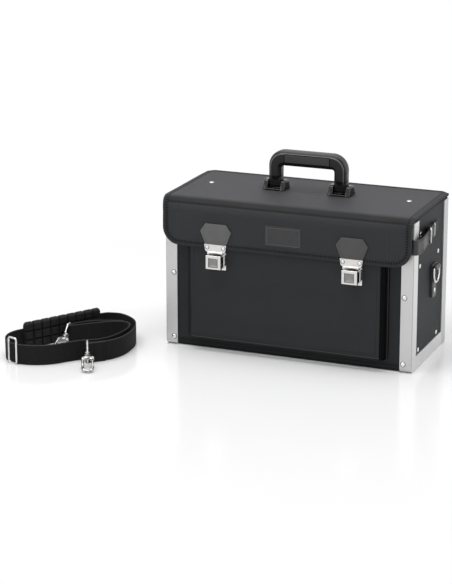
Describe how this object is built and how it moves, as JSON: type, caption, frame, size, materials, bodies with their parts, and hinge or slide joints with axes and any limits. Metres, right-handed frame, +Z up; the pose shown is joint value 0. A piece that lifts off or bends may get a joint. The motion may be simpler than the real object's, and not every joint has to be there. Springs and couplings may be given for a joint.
{
  "type": "tool bag",
  "caption": "Closed tool bag: textile-faced board case with aluminium edge frames, flap lid with push-button locks, swing handle, side straps and a loose shoulder strap.",
  "frame": {"origin": "on the ground under the middle of the case's footprint", "axes": "+X to the right seen from the front, +Y to the back, +Z up"},
  "size_m": [0.6825, 0.398, 0.332],
  "materials": {
    "aluminium_frame": "satin anodised",
    "textile": "coated textile",
    "laminated_board": "textile-faced board",
    "divider_board": "matt board",
    "binding": "woven tape",
    "leather": "grained",
    "plastic": "fine grain",
    "grip": "matt",
    "steel": "polished nickel",
    "cast_metal": "cast and plated",
    "webbing": "woven webbing",
    "pad": "moulded",
    "patch": "woven, bare"
  },
  "bodies": {
    "case": {"base_board": "laminated_board", "base_sheet": "aluminium_frame", "divider_channels_left": "aluminium_frame", "divider_channels_right": "aluminium_frame", "divider_front": "divider_board", "divider_rear": "divider_board", "edge_frame_left": "aluminium_frame", "edge_frame_right": "aluminium_frame", "frame_rivets": "steel", "front_pocket": "textile", "front_wall": "laminated_board", "hinge_strip": "textile", "hook_bail_front": "steel", "hook_bail_rear": "steel", "lock_case_left": "steel", "lock_case_right": "steel", "rear_wall": "laminated_board", "ring_tab_left": "leather", "ring_tab_right": "leather", "shoulder_pad": "pad", "shoulder_webbing": "webbing", "side_panel_left": "laminated_board", "side_panel_right": "laminated_board", "side_rivets": "steel", "side_strap_left": "leather", "side_strap_right": "leather", "strap_buckle_left": "steel", "strap_buckle_right": "steel", "strap_chape_left": "leather", "strap_chape_right": "leather", "strap_keeper_left": "steel", "strap_keeper_right": "steel", "strap_slider": "steel", "tab_rivets": "steel"},
    "lid": {"handle_bracket_left": "plastic", "handle_bracket_right": "plastic", "handle_pin_left": "steel", "handle_pin_right": "steel", "label_patch": "patch", "latch_patch_left": "leather", "latch_patch_right": "leather", "lid_binding": "binding", "lid_board": "laminated_board", "lid_rivets": "steel", "lid_skin": "textile", "lock_tongue_left": "steel", "lock_tongue_right": "steel", "tongue_rivets": "steel"},
    "handle": {"handle": "plastic", "handle_grip": "grip"},
    "button_left": {"lock_button_left": "steel"},
    "ring_left": {"d_ring_left": "steel"},
    "prong_left": {"buckle_prong_left": "steel"},
    "button_right": {"lock_button_right": "steel"},
    "ring_right": {"d_ring_right": "steel"},
    "prong_right": {"buckle_prong_right": "steel"},
    "hook_front": {"snap_hook_front": "cast_metal"},
    "gate_front": {"snap_gate_front": "cast_metal"},
    "hook_rear": {"snap_hook_rear": "cast_metal"},
    "gate_rear": {"snap_gate_rear": "cast_metal"}
  },
  "joints": [
    {"name": "lid_hinge", "type": "hinge", "parent": "case", "child": "lid", "pos_m": [0, 0.0973, 0.25885], "axis": [-1, 0, 0], "range_deg": [0, 180]},
    {"name": "handle_hinge", "type": "hinge", "parent": "lid", "child": "handle", "pos_m": [0, 0.006, 0.275], "axis": [1, 0, 0], "range_deg": [-70, 70]},
    {"name": "lock_button_left_push", "type": "slide", "parent": "case", "child": "button_left", "axis": [0, 1, 0], "range_m": [0, 0.003], "stiffness_N_per_m": 300},
    {"name": "d_ring_left_hinge", "type": "hinge", "parent": "case", "child": "ring_left", "pos_m": [-0.225, 0.017, 0.154], "axis": [0, 1, 0], "range_deg": [0, 120]},
    {"name": "buckle_prong_left_hinge", "type": "hinge", "parent": "case", "child": "prong_left", "pos_m": [-0.2218, -0.027, 0.2235], "axis": [0, 0, -1], "range_deg": [0, 50]},
    {"name": "lock_button_right_push", "type": "slide", "parent": "case", "child": "button_right", "axis": [0, 1, 0], "range_m": [0, 0.003], "stiffness_N_per_m": 300},
    {"name": "d_ring_right_hinge", "type": "hinge", "parent": "case", "child": "ring_right", "pos_m": [0.225, 0.017, 0.154], "axis": [0, -1, 0], "range_deg": [0, 120]},
    {"name": "buckle_prong_right_hinge", "type": "hinge", "parent": "case", "child": "prong_right", "pos_m": [0.2218, -0.027, 0.2235], "axis": [0, 0, 1], "range_deg": [0, 50]},
    {"name": "hook_front_swivel", "type": "hinge", "parent": "case", "child": "hook_front", "pos_m": [-0.29255, -0.25828, 0.0206], "axis": [0.4005, -0.8211, -0.4067], "range_deg": [-180, 180]},
    {"name": "gate_front_hinge", "type": "hinge", "parent": "hook_front", "child": "gate_front", "pos_m": [-0.28075, -0.26421, 0.01592], "axis": [-0.1783, 0.3656, -0.9135], "range_deg": [0, 30], "stiffness_Nm_per_rad": 0.02},
    {"name": "hook_rear_swivel", "type": "hinge", "parent": "case", "child": "hook_rear", "pos_m": [-0.37119, -0.18099, 0.021], "axis": [-0.0319, -0.913, -0.4067], "range_deg": [-180, 180]},
    {"name": "gate_rear_hinge", "type": "hinge", "parent": "hook_rear", "child": "gate_rear", "pos_m": [-0.36357, -0.19177, 0.01632], "axis": [0.0142, 0.4065, -0.9135], "range_deg": [0, 30], "stiffness_Nm_per_rad": 0.02}
  ]
}
